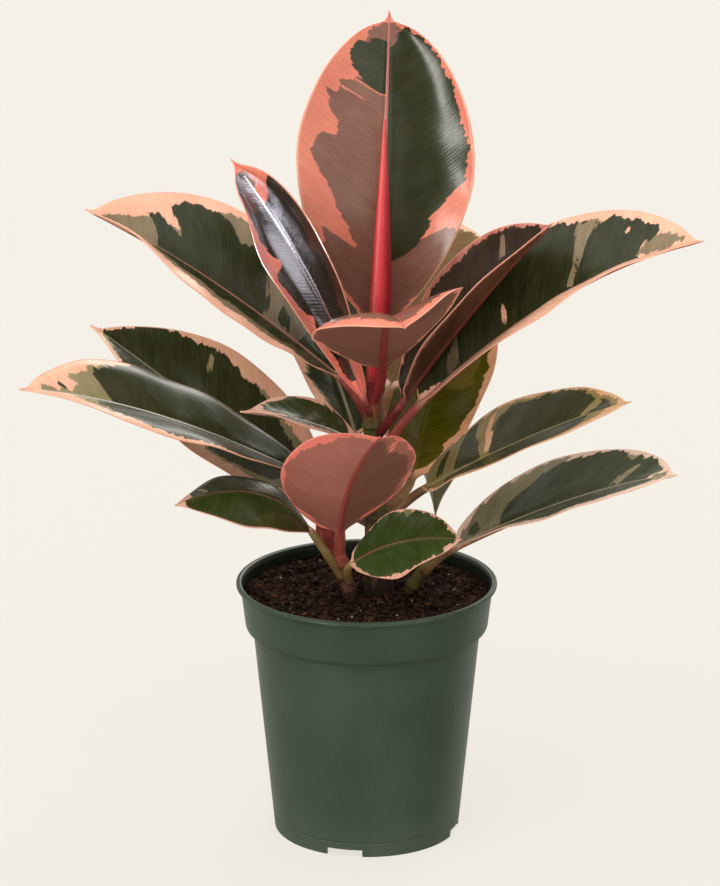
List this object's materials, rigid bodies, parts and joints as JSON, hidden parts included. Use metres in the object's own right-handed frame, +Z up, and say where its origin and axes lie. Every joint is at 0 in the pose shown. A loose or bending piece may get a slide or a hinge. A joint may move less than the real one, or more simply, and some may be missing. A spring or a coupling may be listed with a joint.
{
  "type": "potted rubber plant",
  "caption": "Variegated rubber plant with broad leathery leaves on upright stems, growing in a round tapered plastic nursery pot.",
  "frame": {"origin": "on the pot's axis, at the level of the surface that the pot stands on", "axes": "+Z is up along the pot's axis; -Y is the front, which the curled pink leaves face; +X is to the viewer's right"},
  "size_m": [0.4171, 0.3405, 0.5242],
  "materials": {
    "pot_plastic": "satin moulded polypropylene, dark green",
    "potting_mix": "damp peat, bark crumbs and perlite",
    "bark": "brown bark turning olive green upwards, with leaf rings",
    "green_shoot": "smooth young shoot",
    "red_sheath": "smooth waxy bud sheath, coral red",
    "green_leaf": "glossy dark green and sage with cream and pink margins",
    "pink_leaf": "young leaf, mauve and coral pink, satin"
  },
  "bodies": {
    "root": {"pot": "pot_plastic", "soil": "potting_mix", "stem_main": "bark", "stem_front": "bark", "stem_right": "green_shoot", "bud_sheath": "red_sheath", "scale_front": "red_sheath", "leaf_crown": "pink_leaf", "leaf_spear": "green_leaf", "leaf_front_cup": "pink_leaf", "leaf_left_high": "green_leaf", "leaf_right_fold": "green_leaf", "leaf_right_high": "green_leaf", "leaf_left_inner": "green_leaf", "leaf_left_long": "green_leaf", "leaf_left_mid": "green_leaf", "leaf_right_mid": "green_leaf", "leaf_right_low": "green_leaf", "leaf_left_low": "green_leaf", "leaf_front_pink": "pink_leaf", "leaf_front_small": "green_leaf", "leaf_back_left": "green_leaf", "leaf_back_up": "green_leaf", "leaf_back_right": "green_leaf", "leaf_back_droop": "green_leaf"}
  },
  "joints": []
}
